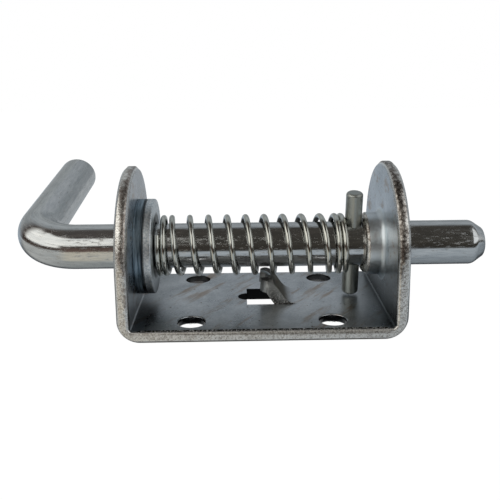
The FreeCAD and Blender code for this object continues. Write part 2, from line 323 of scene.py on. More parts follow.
# %% Bracket sheet
SHEET = 3.42 * MM
HALF_LENGTH = 38.1 * MM
FOLD_OUTSIDE = 6.02 * MM
CREASE = 0.5 * MM
SMALLEST = 1e-9


def read_vectors(items, name):
    """One row of three numbers for each vertex or face."""
    flat = np.empty(len(items) * 3, np.float32)
    items.foreach_get(name, flat)
    return flat.reshape(-1, 3).astype(float)


def tighten_folds(point, corner, in_fold, deep):
    """Shifts points by depth * (solid's radius - crease radius) * (the corner's direction - their own direction)."""
    own = corner / np.maximum(np.linalg.norm(corner, axis=1, keepdims=True), SMALLEST)
    shift = (in_fold * deep)[:, None] * (FOLD_OUTSIDE - SHEET - CREASE) * (np.array([-1, -1]) - own)
    moved = point.copy()
    moved[:, 0] -= np.sign(point[:, 0]) * shift[:, 0]
    moved[:, 2] += shift[:, 1]
    return moved


bracket_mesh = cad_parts["bracket"].data.copy()
bracket_mesh.name = "latch_bracket"
close_and_smooth(bracket_mesh, sharp_degrees=50, flat_degrees=0.3)
point = read_vectors(bracket_mesh.vertices, "co")
corner = np.stack([HALF_LENGTH - FOLD_OUTSIDE - abs(point[:, 0]), point[:, 2] - FOLD_OUTSIDE], axis=1)
in_fold = (corner < 0).all(axis=1)
from_outside = np.where(in_fold, FOLD_OUTSIDE - np.hypot(corner[:, 0], corner[:, 1]),
                        corner.min(axis=1) + FOLD_OUTSIDE)
deep = np.clip(from_outside / SHEET, 0, 1)
tightened = tighten_folds(point, corner, in_fold, deep)
bracket_mesh.vertices.foreach_set("co", tightened.reshape(-1).astype(np.float32))
bracket_mesh.update()
print("folds tightened by up to", round(float(np.linalg.norm(tightened - point, axis=1).max() / MM), 2), "mm")

# %% [markdown]
# The finish needs to know more than the place of a point, so six marks are stored: which faces are sheared, punched,
# lanced or drawn, how deep a point lies in the sheet, and how far it belongs to the bent tongue. The places to look
# in come first, measured from the latch's own origin.

# %% Places on the bracket
HALF_WIDTH = 23.2 * MM
EDGE_BAND = 0.7 * MM
CROWN_Z = (19.4 * MM, 20.2 * MM)
COLLAR_END, LIP_BACK, LIP_DEPTH = 29.08 * MM, 0.6 * MM, 0.3
COLLAR_X, COLLAR_HALF, COLLAR_RADII = 32 * MM, 3 * MM, (7 * MM, 10.6 * MM)
HOLES = np.array([(x * 19.05 * MM, y * 16.9 * MM) for x in (-1, 1) for y in (-1, 1)])
HOLE_REACH, REAR_HOLE = 4.1 * MM, 0.6
CATCH_Y = 1.1 * MM
TONGUE_X, TONGUE_HALF = 5 * MM, (6 * MM, 6.4 * MM)
WINDOW_X, WINDOW_HALF = 2 * MM, (11 * MM, 7.5 * MM)
BENT_RISE = 1.5 * MM


def mark(mesh, name, domain, values):
    """Stores one number a point or a face under a name that the finish can read."""
    mesh.attributes.new(name, "FLOAT", domain).data.foreach_set("value", values.astype(np.float32))
    print("mark", name, "mean", round(float(values.mean()), 3))


def near_lip(places, band, radius):
    """True within a band of the collar's lip along x and within a radius of the bolt's axis."""
    along = abs(places[:, 0] - COLLAR_END - LIP_BACK) < band
    return along & (np.hypot(places[:, 1], places[:, 2] - AXIS_Z) < radius)


def in_box(places, x, half):
    """True within half sizes in x and y of a centre on the catch's middle line."""
    return (abs(places[:, 1] - CATCH_Y) < half[1]) & (abs(places[:, 0] - x) < half[0])


print("places named:", len(HOLES), "holes, collar, tongue and window")

# %% [markdown]
# Each mark is a test on whole arrays of face centres, face directions or points. A direction's part along an axis
# is 1 when it points that way and 0 when it lies square to it.

# %% Bracket marks
centre = read_vectors(bracket_mesh.polygons, "center")
normal = read_vectors(bracket_mesh.polygons, "normal")
above = np.maximum(centre[:, 2] - np.where(centre[:, 0] < 0, *CROWN_Z), 0)
on_outline = HALF_WIDTH - np.hypot(centre[:, 1], above) < EDGE_BAND
on_lip = near_lip(centre, band=0.7 * MM, radius=9.2 * MM)
on_tongue = in_box(centre, TONGUE_X, TONGUE_HALF)
tongue_flank = on_tongue & (centre[:, 2] > 2 * MM) & (normal[:, 0] < 0.1) & (normal[:, 2] < 0.6)
mark(bracket_mesh, "sheared", "FACE", on_outline | on_lip | tongue_flank)
from_hole = np.linalg.norm(centre[:, None, :2] - HOLES[None], axis=2).min(axis=1)
hole_wall = (from_hole < HOLE_REACH) & (abs(normal[:, 2]) < 0.3)
# The holes' painted shade and pale lower walls count in full at the front and at a lower weight at the rear.
mark(bracket_mesh, "punched", "FACE", np.where(centre[:, 1] < 0, 1.0, REAR_HOLE) * hole_wall)
in_window = in_box(centre, WINDOW_X, WINDOW_HALF) & (centre[:, 2] < SHEET)
mark(bracket_mesh, "lanced", "FACE", in_window & (abs(normal[:, 2]) < 0.5))
from_axis = np.hypot(centre[:, 1], centre[:, 2] - AXIS_Z)
in_ring = (from_axis > COLLAR_RADII[0]) & (from_axis < COLLAR_RADII[1])
on_collar = (abs(centre[:, 0] - COLLAR_X) < COLLAR_HALF) & in_ring
tongue_rim = on_tongue & (centre[:, 2] > 4 * MM) & (normal[:, 1] < -0.3) & (normal[:, 2] > 0.3)
mark(bracket_mesh, "drawn", "FACE", on_collar | tongue_rim)
mark(bracket_mesh, "depth", "POINT", np.where(near_lip(point, band=0.75 * MM, radius=9.4 * MM), LIP_DEPTH, deep))
in_catch = in_box(point, TONGUE_X, TONGUE_HALF)
mark(bracket_mesh, "bent", "POINT", in_catch * np.clip((point[:, 2] - SHEET) / BENT_RISE, 0, 1))
bracket = place_piece("latch_bracket", bracket_mesh, "bracket", "bracket")
even = bracket.modifiers.new("Even normals", "WEIGHTED_NORMAL")
even.keep_sharp = True
even.weight = 100

# %% [markdown]
# ## Finishes
# Bright zinc plate is a thin, slightly blue metal skin. It is never even: the bath leaves faint clouds, handling
# leaves stains, and the steel below shows its drawing lines and torn edges. All colours are written as the hex
# values a colour picker gives and turned to linear light by one function.

# %% Colour
def linear(code):
    """sRGB hex to linear: c / 12.92 below 0.04045, else ((c + 0.055) / 1.055) to the power 2.4."""
    c = np.array([int(code[i:i + 2], 16) for i in (1, 3, 5)]) / 255
    c = np.where(c <= 0.04045, c / 12.92, ((c + 0.055) / 1.055) ** 2.4)
    return (*c.tolist(), 1.0)


print("mid grey in linear light", round(linear("#808080")[0], 3))

# %% [markdown]
# A finish is a chain of nodes. One function adds a node of any kind, with its settings and links; a link may name
# another node and then starts at the first output in use. Many sockets share a name in Blender and are reached by
# number, so the numbers get names: a Map Range takes LOW to AT_LOW and HIGH to AT_HIGH.

# %% Nodes and sockets
MAP, MIX, MATH, NOISE = "ShaderNodeMapRange", "ShaderNodeMix", "ShaderNodeMath", "ShaderNodeTexNoise"
VECTOR_MATH, SPLIT = "ShaderNodeVectorMath", "ShaderNodeSeparateXYZ"
VALUE, LOW, HIGH, AT_LOW, AT_HIGH = range(5)
FACTOR, NUMBER_A, NUMBER_B, COLOUR_A, COLOUR_B = 0, 2, 3, 6, 7
FIRST, SECOND, THIRD = range(3)


def output_of(source):
    """A socket itself, or a node's first output that is in use."""
    if isinstance(source, bpy.types.NodeSocket):
        return source
    return next(socket for socket in source.outputs if socket.enabled)


def node(tree, kind, values=None, links=None, **settings):
    """Adds one node, sets its properties and input values, and links its inputs to sockets or other nodes."""
    made = tree.nodes.new(kind)
    for name, value in settings.items():
        setattr(made, name, value)
    for socket, value in (values or {}).items():
        made.inputs[socket].default_value = value
    for socket, source in (links or {}).items():
        tree.links.new(output_of(source), made.inputs[socket])
    return made


print("a Mix has", COLOUR_B + 1, "inputs up to its second colour")

# %% [markdown]
# Every metal here is the same shader with its own colour, roughness and relief, so those three links are made in
# one place. A blank material is kept apart for the stage, which needs no metal.

# %% Materials
def blank_material(name):
    """A material whose node tree is still empty."""
    made = bpy.data.materials.new(name)
    made.use_nodes = True
    made.node_tree.nodes.clear()
    return made, made.node_tree


def new_metal(name):
    """A node material with a metal shader joined to its output."""
    made, tree = blank_material(name)
    shader = node(tree, "ShaderNodeBsdfPrincipled", {"Metallic": 1.0})
    node(tree, "ShaderNodeOutputMaterial", links={"Surface": shader})
    return made, tree, shader


def dress(finish, shader, colour, rough, bump, *pieces):
    """Joins colour, roughness and relief to a finish's shader and gives the finish to pieces."""
    tree = finish.node_tree
    for socket, source in (("Base Color", colour), ("Roughness", rough), ("Normal", bump)):
        tree.links.new(output_of(source), shader.inputs[socket])
    for piece in pieces:
        piece.data.materials.clear()
        piece.data.materials.append(finish)
    print("finish", finish.name, len(tree.nodes), "nodes")


print("materials so far", len(bpy.data.materials))

# %% [markdown]
# ### Zinc plate on sheet
# The sheet is cold rolled and plated after forming. Its faces are smooth with clouds some 9 mm across, a fine
# mottle, brown water stains drawn out along one slant, and a few rust specks. Noise at those sizes gives each of
# them, one over the other.

# %% Plate, stains and rust
CLOUD, GRAIN, STAIN, RUST = 9 * MM, 0.6 * MM, 3 * MM, 1.3 * MM
sheet_finish, tree, shader = new_metal("zinc_plated_sheet")
place = node(tree, "ShaderNodeTexCoord").outputs["Object"]
spot = node(tree, SPLIT, links={0: place})
edge, hole, lanced, depth, bent, drawn = (
    node(tree, "ShaderNodeAttribute", attribute_name=name).outputs["Fac"]
    for name in ("sheared", "punched", "lanced", "depth", "bent", "drawn"))
clouds = node(tree, NOISE, {"Scale": 1 / CLOUD, "Detail": 5, "Roughness": 0.6}, {"Vector": place})
grain = node(tree, NOISE, {"Scale": 1 / GRAIN, "Detail": 4, "Roughness": 0.75}, {"Vector": place})
mottle = node(tree, MATH, {SECOND: 0.7}, {FIRST: grain, THIRD: clouds}, operation="MULTIPLY_ADD")
plate_part = node(tree, MAP, {LOW: 0.6, HIGH: 1.1}, {VALUE: mottle})
plate = node(tree, MIX, {COLOUR_A: linear("#a7adb2"), COLOUR_B: linear("#e6e9ec")},
             {FACTOR: plate_part}, data_type="RGBA")
slant = node(tree, "ShaderNodeMapping", {"Rotation": (0, 0, -0.58), "Scale": (1, 7, 1)}, {"Vector": place},
             vector_type="TEXTURE")
stain = node(tree, NOISE, {"Scale": 1 / STAIN, "Detail": 6, "Roughness": 0.65}, {"Vector": slant})
stain_part = node(tree, MAP, {LOW: 0.54, HIGH: 0.66, AT_LOW: 0.0, AT_HIGH: 0.6}, {VALUE: stain})
stained = node(tree, MIX, {COLOUR_B: linear("#97754f")}, {FACTOR: stain_part, COLOUR_A: plate}, data_type="RGBA")
rust = node(tree, NOISE, {"Scale": 1 / RUST, "Detail": 2, "Roughness": 0.5}, {"Vector": place})
rust_part = node(tree, MAP, {LOW: 0.7, HIGH: 0.75, AT_LOW: 0.0, AT_HIGH: 0.8}, {VALUE: rust})
rusted = node(tree, MIX, {COLOUR_B: linear("#54382a")}, {FACTOR: rust_part, COLOUR_A: stained}, data_type="RGBA")
print("plate patterns", len(tree.nodes), "nodes")

# %% [markdown]
# Painted shade darkens the plate near the two folds, most on the right ear and least on the left side, and fades
# with the distance from the crease. The catch is scratched bare and grows darker and browner towards its end, and
# the drawn collar is painted paler than the flats, a painted lift of the light it catches.

# %% Painted fold shade and catch
FOLD_NEAR, FOLD_FAR = 1 * MM, 13 * MM
# The catch grows darker and browner between these two heights.
TONGUE_DARKENING = (8.5 * MM, 11 * MM)
TONGUE_END = linear("#2e2a26")
mirrored = node(tree, VECTOR_MATH, links={FIRST: place}, operation="ABSOLUTE")
side_on = node(tree, VECTOR_MATH, {SECOND: (1, 0, 1)}, {FIRST: mirrored}, operation="MULTIPLY")
from_fold = node(tree, VECTOR_MATH, {SECOND: (HALF_LENGTH - SHEET, 0, SHEET)}, {FIRST: side_on}, operation="DISTANCE")
base_top = node(tree, MAP, {LOW: -34 * MM, HIGH: 20 * MM, AT_LOW: 0.42, AT_HIGH: 0.7}, {VALUE: spot.outputs["X"]})
fold_top = node(tree, MAP, {LOW: 33 * MM, HIGH: 34.5 * MM, AT_HIGH: 1.0},
                {VALUE: spot.outputs["X"], AT_LOW: base_top})
# Painted shade: the plate darkens towards the crease of each fold.
fold_shade_part = node(tree, MAP, {LOW: FOLD_NEAR, HIGH: FOLD_FAR, AT_HIGH: 0.0}, {VALUE: from_fold, AT_LOW: fold_top})
painted_fold_shade = node(tree, MATH, links={FIRST: fold_shade_part, SECOND: depth}, operation="MULTIPLY")
shaded = node(tree, MIX, {COLOUR_B: linear("#555b5f")}, {FACTOR: painted_fold_shade, COLOUR_A: rusted}, data_type="RGBA")
bent_part = node(tree, MATH, {SECOND: 0.75}, {FIRST: bent}, operation="MULTIPLY")
tongue_part = node(tree, MAP, {LOW: TONGUE_DARKENING[0], HIGH: TONGUE_DARKENING[1]}, {VALUE: spot.outputs["Z"]})
tongue = node(tree, MIX, {COLOUR_A: linear("#908c82"), COLOUR_B: TONGUE_END}, {FACTOR: tongue_part}, data_type="RGBA")
formed = node(tree, MIX, links={FACTOR: bent_part, COLOUR_A: shaded, COLOUR_B: tongue}, data_type="RGBA")
# Painted light: the drawn faces are painted paler, a lift of the light they catch.
drawn_part = node(tree, MATH, {SECOND: 0.7}, {FIRST: drawn}, operation="MULTIPLY")
painted_paler = node(tree, MIX, {COLOUR_B: linear("#e4edf2")}, {FACTOR: drawn_part, COLOUR_A: formed}, data_type="RGBA")
print("with folds and catch", len(tree.nodes), "nodes")

# %% [markdown]
# ### Sheared edges
# A sheared edge has two zones: the blade rubs the outer part bright, and the inner part breaks away in dark scales
# of 1.5 mm. A noise in 3.5 mm patches moves the line between them, and the broken part grows towards the crown of
# an ear.

# %% Where an edge is broken
TEAR, PATCH, SCALE = 0.45 * MM, 3.5 * MM, 1.5 * MM
tear = node(tree, NOISE, {"Scale": 1 / TEAR, "Detail": 5, "Roughness": 0.75}, {"Vector": place})
patch = node(tree, NOISE, {"Scale": 1 / PATCH, "Detail": 3, "Roughness": 0.6}, {"Vector": place})
crown = node(tree, MAP, {LOW: 4 * MM, HIGH: 24 * MM, AT_LOW: -0.4, AT_HIGH: 0.5}, {VALUE: spot.outputs["Z"]})
to_tip = node(tree, MAP, {LOW: -5 * MM, HIGH: 5 * MM}, {VALUE: spot.outputs["X"]})
crown_part = node(tree, MAP, {AT_LOW: 0.5, AT_HIGH: 1.0}, {VALUE: to_tip})
crown_reach = node(tree, MATH, links={FIRST: crown, SECOND: crown_part}, operation="MULTIPLY")
reach = node(tree, MATH, {SECOND: 1.6}, {FIRST: patch, THIRD: depth}, operation="MULTIPLY_ADD")
higher = node(tree, MATH, links={FIRST: reach, SECOND: crown_reach}, operation="ADD")
broken = node(tree, MAP, {LOW: 1.4, HIGH: 1.75}, {VALUE: higher}, interpolation_type="SMOOTHSTEP")
scales = node(tree, "ShaderNodeTexVoronoi", {"Scale": 1 / SCALE}, {"Vector": place}, feature="DISTANCE_TO_EDGE")
low = node(tree, MAP, {LOW: 5 * MM, HIGH: 12 * MM, AT_LOW: 1.0, AT_HIGH: 0.0}, {VALUE: spot.outputs["Z"]})
outline = node(tree, MAP, {AT_LOW: -0.2, AT_HIGH: -0.03}, {VALUE: low})
rim_part = node(tree, MAP, {LOW: 0.02, HIGH: 0.3, AT_HIGH: 0.1}, {VALUE: scales, AT_LOW: outline})
scaly = node(tree, MATH, links={FIRST: tear, SECOND: rim_part}, operation="ADD")
speck_part = node(tree, MAP, {LOW: 0.25, HIGH: 0.75}, {VALUE: scaly})
print("with the broken zone", len(tree.nodes), "nodes")

# %% [markdown]
# The rubbed zone and the scales each get a colour; the bevels get a near white, partly clean metal and partly a
# painted highlight. The top of the base's edge has a thin burr, painted as a dark reflection with white glints.

# %% Edge colours
off_middle = node(tree, MATH, {SECOND: 0.5}, {FIRST: depth}, operation="SUBTRACT")
outwards = node(tree, MATH, links={FIRST: off_middle}, operation="ABSOLUTE")
bevel = node(tree, MAP, {LOW: 0.33, HIGH: 0.4}, {VALUE: outwards})
rub_part = node(tree, MAP, {LOW: 0.36, HIGH: 0.54}, {VALUE: tear})
rubbed = node(tree, MIX, {COLOUR_A: linear("#a69f96"), COLOUR_B: linear("#fbf9f4")},
              {FACTOR: rub_part}, data_type="RGBA")
hollows = node(tree, MIX, {COLOUR_A: linear("#968a81"), COLOUR_B: linear("#574d46")},
               {FACTOR: to_tip}, data_type="RGBA")
grains = node(tree, MIX, {COLOUR_B: linear("#e4ded6")}, {FACTOR: speck_part, COLOUR_A: hollows}, data_type="RGBA")
middle_zone = node(tree, MIX, links={FACTOR: broken, COLOUR_A: rubbed, COLOUR_B: grains}, data_type="RGBA")
# Painted highlight: the bevels are lightened towards white.
highlit_bevels = node(tree, MIX, {COLOUR_B: linear("#f0f0ee")}, {FACTOR: bevel, COLOUR_A: middle_zone}, data_type="RGBA")
# Painted reflection and glints: a dark burr line with white glints along the base's top edge.
painted_glints = node(tree, MAP, {LOW: 0.52, HIGH: 0.58}, {VALUE: tear})
burr_reflection_and_glints = node(tree, MIX, {COLOUR_A: linear("#2c2520"), COLOUR_B: linear("#fbf9f5")}, {FACTOR: painted_glints}, data_type="RGBA")
top_line = node(tree, MAP, {LOW: 0.86, HIGH: 0.92}, {VALUE: depth})
burr_part = node(tree, MATH, links={FIRST: top_line, SECOND: low}, operation="MULTIPLY")
torn = node(tree, MIX, links={FACTOR: burr_part, COLOUR_A: highlit_bevels, COLOUR_B: burr_reflection_and_glints}, data_type="RGBA")
print("with edge colours", len(tree.nodes), "nodes")

# %% [markdown]
# The marks now choose between plate and edge, then the lanced window, whose walls are painted dark as shade, then the
# punched holes. The front holes look white low down and dark above: their walls are pale and smooth in the lower
# part, so that they mirror the bright spots below, and painted dark as shade over it.

# %% Holes, window and sheet colour
hole_shade_part = node(tree, MAP, {LOW: 0.36, HIGH: 0.42}, {VALUE: depth})
# Painted shade: the upper part of each hole wall is near black; the pale lower part mirrors the bright spots.
wall = node(tree, MIX, {COLOUR_A: linear("#fbfbfa"), COLOUR_B: linear("#27292b")},
            {FACTOR: hole_shade_part}, data_type="RGBA")
flank = node(tree, MIX, {COLOUR_A: linear("#c2c6c5"), COLOUR_B: TONGUE_END}, {FACTOR: tongue_part}, data_type="RGBA")
worn = node(tree, MIX, links={FACTOR: bent_part, COLOUR_A: torn, COLOUR_B: flank}, data_type="RGBA")
cut = node(tree, MIX, links={FACTOR: edge, COLOUR_A: painted_paler, COLOUR_B: worn}, data_type="RGBA")
# Painted shade: the lanced window's walls are dark.
window_shaded = node(tree, MIX, {COLOUR_B: linear("#3a3c3d")}, {FACTOR: lanced, COLOUR_A: cut}, data_type="RGBA")
colour = node(tree, MIX, links={FACTOR: hole, COLOUR_A: window_shaded, COLOUR_B: wall}, data_type="RGBA")
print("sheet colour", len(tree.nodes), "nodes")

# %% [markdown]
# Roughness follows the clouds on the plate, is higher on the catch and low in the holes. The relief is fine
# grain on the plate and ragged dents on the edges, calmer on bevels and on the base's edge. A dark specular tint
# keeps the dull catch from shining at a flat angle.

# %% Sheet gloss and relief
DENT = 1.6 * MM
PLATE_RELIEF, EDGE_RELIEF, CALM_RELIEF = 0.03 * MM, 0.2 * MM, 0.04 * MM
HOLE_ROUGH = 0.1
smooth_part = node(tree, MAP, {LOW: 0.3, HIGH: 0.7, AT_LOW: 0.24, AT_HIGH: 0.36}, {VALUE: clouds})
tongue_face = node(tree, MATH, links={FIRST: bent, SECOND: drawn}, operation="SUBTRACT", use_clamp=True)
dull = node(tree, MATH, {SECOND: 0.3}, {FIRST: tongue_face, THIRD: smooth_part}, operation="MULTIPLY_ADD")
duller = node(tree, MATH, {SECOND: 0.06}, {FIRST: drawn, THIRD: dull}, operation="MULTIPLY_ADD")
low_edge = node(tree, MAP, {LOW: 3 * MM, HIGH: 7 * MM, AT_LOW: 0.38, AT_HIGH: 0.27}, {VALUE: spot.outputs["Z"]})
tongue_rough = node(tree, MATH, {SECOND: 0.25}, {FIRST: bent, THIRD: low_edge}, operation="MULTIPLY_ADD")
edge_rough = node(tree, MIX, links={FACTOR: edge, NUMBER_A: duller, NUMBER_B: tongue_rough})
rough = node(tree, MIX, {NUMBER_B: HOLE_ROUGH}, {FACTOR: hole, NUMBER_A: edge_rough})
dents = node(tree, NOISE, {"Scale": 1 / DENT, "Detail": 3, "Roughness": 0.6}, {"Vector": place})
ragged = node(tree, MATH, {SECOND: 0.35}, {FIRST: tear, THIRD: dents}, operation="MULTIPLY_ADD")
height = node(tree, MIX, links={FACTOR: edge, NUMBER_A: grain, NUMBER_B: ragged})
low_part = node(tree, MATH, {SECOND: 0.6}, {FIRST: low}, operation="MULTIPLY")
flatter = node(tree, MATH, links={FIRST: bevel, SECOND: low_part}, operation="MAXIMUM")
calm = node(tree, MATH, links={FIRST: flatter, SECOND: bent}, operation="MAXIMUM")
edge_lift = node(tree, MAP, {AT_LOW: EDGE_RELIEF, AT_HIGH: CALM_RELIEF}, {VALUE: calm})
lift = node(tree, MIX, {NUMBER_A: PLATE_RELIEF}, {FACTOR: edge, NUMBER_B: edge_lift})
bump = node(tree, "ShaderNodeBump", {"Strength": 0.7}, {"Height": height, "Distance": lift})
grazing = node(tree, MIX, {COLOUR_A: linear("#ffffff"), COLOUR_B: linear("#5a5148")},
               {FACTOR: tongue_face}, data_type="RGBA")
tree.links.new(output_of(grazing), shader.inputs["Specular Tint"])
dress(sheet_finish, shader, colour, rough, bump, bracket)

# %% [markdown]
# ### Zinc plate on drawn bar
# Drawn bar has fine lines along its length, so its reflections break up into streaks. The pattern reads the
# straightened place of each point, so the lines follow the bend into the handle.

# %% Bar finish
DRAW_LINE, BAR_SPECK, BAR_RELIEF = 0.8 * MM, 0.55 * MM, 0.025 * MM
bar_finish, tree, shader = new_metal("zinc_plated_drawn_bar")
place = node(tree, "ShaderNodeAttribute", attribute_name="straightened").outputs["Vector"]
stretched = node(tree, "ShaderNodeMapping", {"Scale": (0.16, 1, 1)}, {"Vector": place})
lines = node(tree, NOISE, {"Scale": 1 / DRAW_LINE, "Detail": 6, "Roughness": 0.62}, {"Vector": stretched})
pulled = node(tree, "ShaderNodeMapping", {"Scale": (0.22, 1, 1)}, {"Vector": place})
specks = node(tree, NOISE, {"Scale": 1 / BAR_SPECK, "Detail": 4, "Roughness": 0.75}, {"Vector": pulled})
speck_part = node(tree, MAP, {LOW: 0.55, HIGH: 0.68}, {VALUE: specks})
bar_part = node(tree, MAP, {LOW: 0.35, HIGH: 0.65}, {VALUE: lines})
bar = node(tree, MIX, {COLOUR_A: linear("#c3c6c7"), COLOUR_B: linear("#dedfde")}, {FACTOR: bar_part},
           data_type="RGBA")
speckled = node(tree, MATH, {SECOND: 0.28}, {FIRST: speck_part}, operation="MULTIPLY")
colour = node(tree, MIX, {COLOUR_B: linear("#85796d")}, {FACTOR: speckled, COLOUR_A: bar}, data_type="RGBA")
smooth_part = node(tree, MAP, {LOW: 0.3, HIGH: 0.7, AT_LOW: 0.07, AT_HIGH: 0.15}, {VALUE: lines})
rough = node(tree, MATH, {SECOND: 0.3}, {FIRST: speck_part, THIRD: smooth_part}, operation="MULTIPLY_ADD")
pitted = node(tree, MATH, {SECOND: -0.5}, {FIRST: speck_part, THIRD: lines}, operation="MULTIPLY_ADD")
bump = node(tree, "ShaderNodeBump", {"Strength": 0.6, "Distance": BAR_RELIEF}, {"Height": pitted})
dress(bar_finish, shader, colour, rough, bump, bolt)

# %% [markdown]
# ### Dulled pin steel
# The pin is tumbled and plated in bulk, so it is duller and a little green beside the bolt, with small dents.

# %% Pin finish
PIN_DENT, PIN_RELIEF = 1.1 * MM, 0.05 * MM
pin_finish, tree, shader = new_metal("tumbled_pin_steel")
place = node(tree, "ShaderNodeAttribute", attribute_name="straightened").outputs["Vector"]
dents = node(tree, NOISE, {"Scale": 1 / PIN_DENT, "Detail": 5, "Roughness": 0.65}, {"Vector": place})
colour = node(tree, MIX, {COLOUR_A: linear("#989c97"), COLOUR_B: linear("#c6c9c4")}, {FACTOR: dents},
              data_type="RGBA")
rough = node(tree, MAP, {LOW: 0.3, HIGH: 0.7, AT_LOW: 0.3, AT_HIGH: 0.48}, {VALUE: dents})
bump = node(tree, "ShaderNodeBump", {"Strength": 0.5, "Distance": PIN_RELIEF}, {"Height": dents})
dress(pin_finish, shader, colour, rough, bump, pin)

# %% [markdown]
# ### Plated spring wire
# Hard drawn wire is smooth and bright, with faint die lines along the wire and warm grey tones. The side towards the
# bolt is painted dark: painted shade and a painted reflection of the bolt's dark underside. On the straightened wire
# that side is where y is negative.

# %% Wire finish
DIE_LINE, WIRE_RELIEF = 0.3 * MM, 0.02 * MM
wire_finish, tree, shader = new_metal("plated_spring_wire")
place = node(tree, "ShaderNodeAttribute", attribute_name="straightened").outputs["Vector"]
stretched = node(tree, "ShaderNodeMapping", {"Scale": (0.1, 1, 1)}, {"Vector": place})
lines = node(tree, NOISE, {"Scale": 1 / DIE_LINE, "Detail": 4, "Roughness": 0.6}, {"Vector": stretched})
wire = node(tree, MIX, {COLOUR_A: linear("#b0b0a8"), COLOUR_B: linear("#e8e8e0")}, {FACTOR: lines}, data_type="RGBA")
spot = node(tree, SPLIT, links={0: place})
# Painted shade: the wire darkens on its side towards the bolt.
inner_shade = node(tree, MAP, {LOW: -0.5 * WIRE, HIGH: 0.2 * WIRE, AT_LOW: 0.85, AT_HIGH: 0.0}, {VALUE: spot.outputs["Y"]})
colour = node(tree, MIX, {COLOUR_B: linear("#33312c")}, {FACTOR: inner_shade, COLOUR_A: wire}, data_type="RGBA")
rough = node(tree, MAP, {LOW: 0.3, HIGH: 0.7, AT_LOW: 0.08, AT_HIGH: 0.16}, {VALUE: lines})
bump = node(tree, "ShaderNodeBump", {"Strength": 0.3, "Distance": WIRE_RELIEF}, {"Height": lines})
dress(wire_finish, shader, colour, rough, bump, spring)

# %% [markdown]
# ### Dull zinc on the washers
# Washers are barrel plated. The inner one is rubbed into blue streaks by the ear and painted darker as shade, and the
# outer one stays pale and grainy. One material serves both and tells them apart by their place along the bolt.

# %% Washer plate
RUB, WASHER_GRAIN = 0.7 * MM, 0.6 * MM
INNER_END, OUTER_FACE = -32.22 * MM, -32.19 * MM
washer_finish, tree, shader = new_metal("barrel_plated_washer")
place = node(tree, "ShaderNodeAttribute", attribute_name="straightened").outputs["Vector"]
spot = node(tree, SPLIT, links={0: place})
turned_round = node(tree, "ShaderNodeMapping", {"Scale": (1, 0.06, 0.06)}, {"Vector": place})
rubs = node(tree, NOISE, {"Scale": 1 / RUB, "Detail": 4, "Roughness": 0.7}, {"Vector": turned_round})
rub_part = node(tree, MAP, {LOW: 0.38, HIGH: 0.62}, {VALUE: rubs})
# Painted shade: the inner washer's streaks are darker than the outer washer.
streaked_and_shaded = node(tree, MIX, {COLOUR_A: linear("#5a6b77"), COLOUR_B: linear("#b4c6d2")}, {FACTOR: rub_part},
                data_type="RGBA")
grain = node(tree, NOISE, {"Scale": 1 / WASHER_GRAIN, "Detail": 4, "Roughness": 0.7}, {"Vector": place})
grain_part = node(tree, MAP, {LOW: 0.38, HIGH: 0.62}, {VALUE: grain})
bright = node(tree, MIX, {COLOUR_A: linear("#c6d0d6"), COLOUR_B: linear("#fafcfd")}, {FACTOR: grain_part},
              data_type="RGBA")
outer_part = node(tree, MAP, {LOW: INNER_END, HIGH: OUTER_FACE}, {VALUE: spot.outputs["X"]})
plate = node(tree, MIX, links={FACTOR: outer_part, COLOUR_A: streaked_and_shaded, COLOUR_B: bright}, data_type="RGBA")
print("washer plate", len(tree.nodes), "nodes")

# %% [markdown]
# Painted shade darkens the joint between the washers, their bottom, and the ring round the seat of the spring. The
# three places are found from x, from z and from the distance to the bolt's axis.

# %% Washer painted shade and gloss
JOINT_X, JOINT_HALF = -32.2 * MM, 0.45 * MM
SEAT_OUTSIDE, SEAT_INSIDE = 9.9 * MM, 8.9 * MM
WASHER_RELIEF = 0.03 * MM
# Painted shade: the joint, the bottom and the spring's seat are darkened.
in_joint = node(tree, MATH, {SECOND: JOINT_X, THIRD: JOINT_HALF}, {FIRST: spot.outputs["X"]}, operation="COMPARE")
low_part = node(tree, MAP, {LOW: -13 * MM, HIGH: -7 * MM, AT_LOW: 0.8, AT_HIGH: 0.0}, {VALUE: spot.outputs["Z"]})
spoke = node(tree, VECTOR_MATH, {SECOND: (0, 1, 1)}, {FIRST: place}, operation="MULTIPLY")
spoke_length = node(tree, VECTOR_MATH, links={FIRST: spoke}, operation="LENGTH")
seat_part = node(tree, MAP, {LOW: SEAT_OUTSIDE, HIGH: SEAT_INSIDE, AT_LOW: 0.0, AT_HIGH: 0.85}, {VALUE: spoke_length})
shade_places = node(tree, MATH, links={FIRST: low_part, SECOND: seat_part}, operation="MAXIMUM")
painted_shade = node(tree, MATH, {SECOND: 0.75}, {FIRST: in_joint, THIRD: shade_places}, operation="MULTIPLY_ADD", use_clamp=True)
colour = node(tree, MIX, {COLOUR_B: linear("#23272a")}, {FACTOR: painted_shade, COLOUR_A: plate}, data_type="RGBA")
rough = node(tree, MAP, {LOW: 0.3, HIGH: 0.7, AT_LOW: 0.36, AT_HIGH: 0.5}, {VALUE: rubs})
bump = node(tree, "ShaderNodeBump", {"Strength": 0.5, "Distance": WASHER_RELIEF}, {"Height": rubs})
dress(washer_finish, shader, colour, rough, bump, inner_washer, outer_washer)

# %% [markdown]
# ## Studio
# Bare metal is mostly a picture of its surroundings, so the studio matters as much as the finish. The sky is drawn
# in bands by its angle about the bolt's axis: a dark ceiling, a pale back wall, a warm table below the camera and a
# cooler floor under the latch. Zero degrees is level towards the camera and 90 is straight up. The left half of the
# room is a little warmer than the right.

